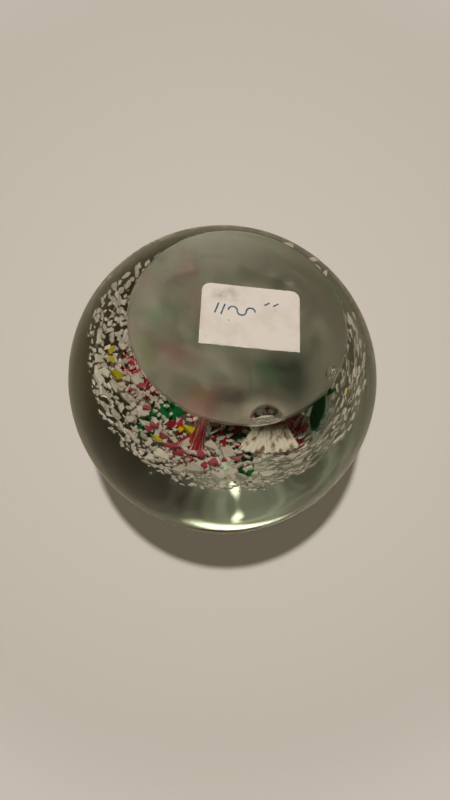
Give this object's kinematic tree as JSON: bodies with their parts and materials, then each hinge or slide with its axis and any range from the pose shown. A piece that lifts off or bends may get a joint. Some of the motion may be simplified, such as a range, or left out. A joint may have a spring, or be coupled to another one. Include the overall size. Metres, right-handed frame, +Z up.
{
  "type": "paperweight",
  "caption": "Solid glass ball paperweight with a ground flat base, trumpet flowers and leaves on an umbrella bed of white glass chips, and a blank price sticker underneath.",
  "frame": {"origin": "centre of the ring that the paperweight rests on, in the plane of the ground base", "axes": "+Z up through the top of the dome; the sticker's long edge lies near the X axis, its round corners on the +Y side"},
  "size_m": [0.08, 0.08, 0.072],
  "materials": {
    "clear_glass": "clear with a faint green-grey tint, fire-polished outside, base ground matt",
    "white_glass": "opaque white enamel glass",
    "yellow_glass": "opaque yellow glass",
    "red_glass": "deep red glass",
    "pink_glass": "milky pink-red glass",
    "green_glass": "deep emerald glass",
    "sticker_paper": "matt off-white paper, slightly soiled",
    "adhesive": "thin yellowed gum",
    "pen_ink": "dry blue pen ink"
  },
  "bodies": {
    "root": {"core_gather": "clear_glass", "dome_gather": "clear_glass", "white_chip_bed": "white_glass", "yellow_chips": "yellow_glass", "red_chips": "red_glass", "pink_chips": "pink_glass", "flower_1_petals": "white_glass", "flower_2_petals": "white_glass", "flower_3_petals": "white_glass", "flower_4_petals": "white_glass", "flower_5_petals": "white_glass", "flower_1_throat": "red_glass", "flower_2_throat": "red_glass", "flower_3_throat": "red_glass", "flower_4_throat": "red_glass", "flower_5_throat": "red_glass", "leaf_1": "green_glass", "leaf_2": "green_glass", "leaf_3": "green_glass", "leaf_4": "green_glass", "leaf_5": "green_glass", "price_label": "sticker_paper", "label_adhesive": "adhesive", "pen_marks": "pen_ink"}
  },
  "joints": []
}
